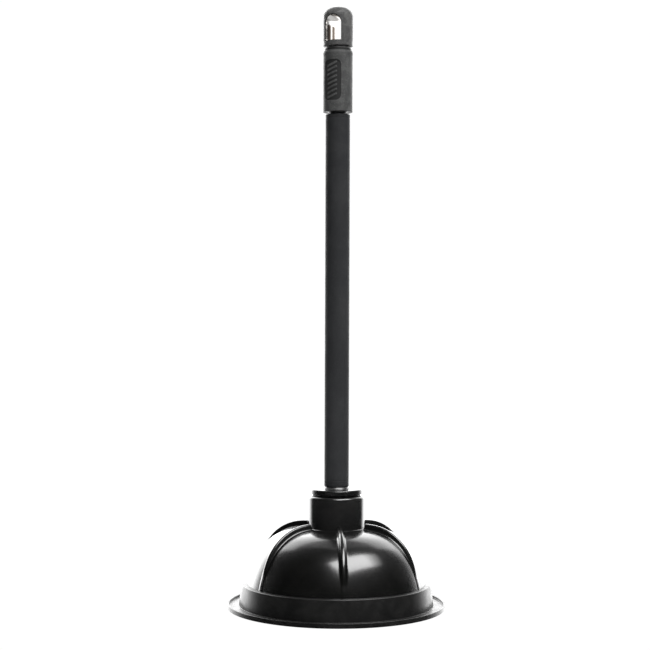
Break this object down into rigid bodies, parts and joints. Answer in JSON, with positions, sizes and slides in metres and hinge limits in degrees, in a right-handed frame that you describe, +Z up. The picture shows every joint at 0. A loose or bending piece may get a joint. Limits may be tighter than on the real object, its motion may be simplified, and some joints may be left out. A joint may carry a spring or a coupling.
{
  "type": "sink plunger",
  "caption": "Black rubber sink plunger: ribbed dome cup with a flat sealing rim, screw-in tubular handle and a swivelling hanging eye.",
  "frame": {"origin": "centre of the cup's sealing rim, on the surface it stands on", "axes": "+Z up the handle; the hanging slot and the grip's recessed panel look along Y, the panel towards -Y"},
  "size_m": [0.16, 0.16, 0.4417],
  "materials": {
    "cup_rubber": "semi-gloss moulded black rubber, faintly dusty",
    "neck_plastic": "satin black polypropylene",
    "seal_rubber": "matte black rubber",
    "disc_plastic": "glossy black plastic",
    "plug_plastic": "semi-gloss black nylon",
    "zinc_steel": "zinc-plated steel",
    "tube_steel": "bare drawn steel",
    "tube_coating": "satin dark grey plastic coating",
    "grip_plastic": "fine-textured dark grey plastic",
    "washer_plastic": "smooth black acetal",
    "eye_plastic": "fine-textured dark grey plastic",
    "liner_chrome": "bright chrome plate"
  },
  "bodies": {
    "cup": {"rubber_cup": "cup_rubber"},
    "neck": {"neck_socket": "neck_plastic", "clamp_plate": "zinc_steel", "clamp_screw": "zinc_steel", "seal_washer": "seal_rubber"},
    "disc": {"clamp_disc": "disc_plastic"},
    "handle": {"lower_plug": "plug_plastic", "steel_tube": "tube_steel", "tube_skin": "tube_coating", "upper_plug": "plug_plastic", "grip_sleeve": "grip_plastic", "swivel_washer": "washer_plastic", "eye_pivot": "zinc_steel"},
    "eye": {"hanging_eye": "eye_plastic", "eye_liner": "liner_chrome"}
  },
  "joints": [
    {"name": "cup_squash", "type": "slide", "parent": "cup", "child": "neck", "axis": [0, 0, 1], "range_m": [-0.025, 0], "stiffness_N_per_m": 4000, "deforming": ["rubber_cup"]},
    {"name": "disc_lift", "type": "slide", "parent": "neck", "child": "disc", "axis": [0, 0, 1], "range_m": [0, 0.015]},
    {"name": "handle_screw", "type": "hinge", "parent": "disc", "child": "handle", "pos_m": [0, 0, 0.0879], "axis": [0, 0, 1], "range_deg": [0, 1530]},
    {"name": "eye_swivel", "type": "hinge", "parent": "handle", "child": "eye", "pos_m": [0, 0, 0.4129], "axis": [0, 0, 1], "continuous": true}
  ],
  "couplings": [
    {"joint": "disc_lift", "follows": "handle_screw", "m_per_rad": 0.00055704}
  ]
}
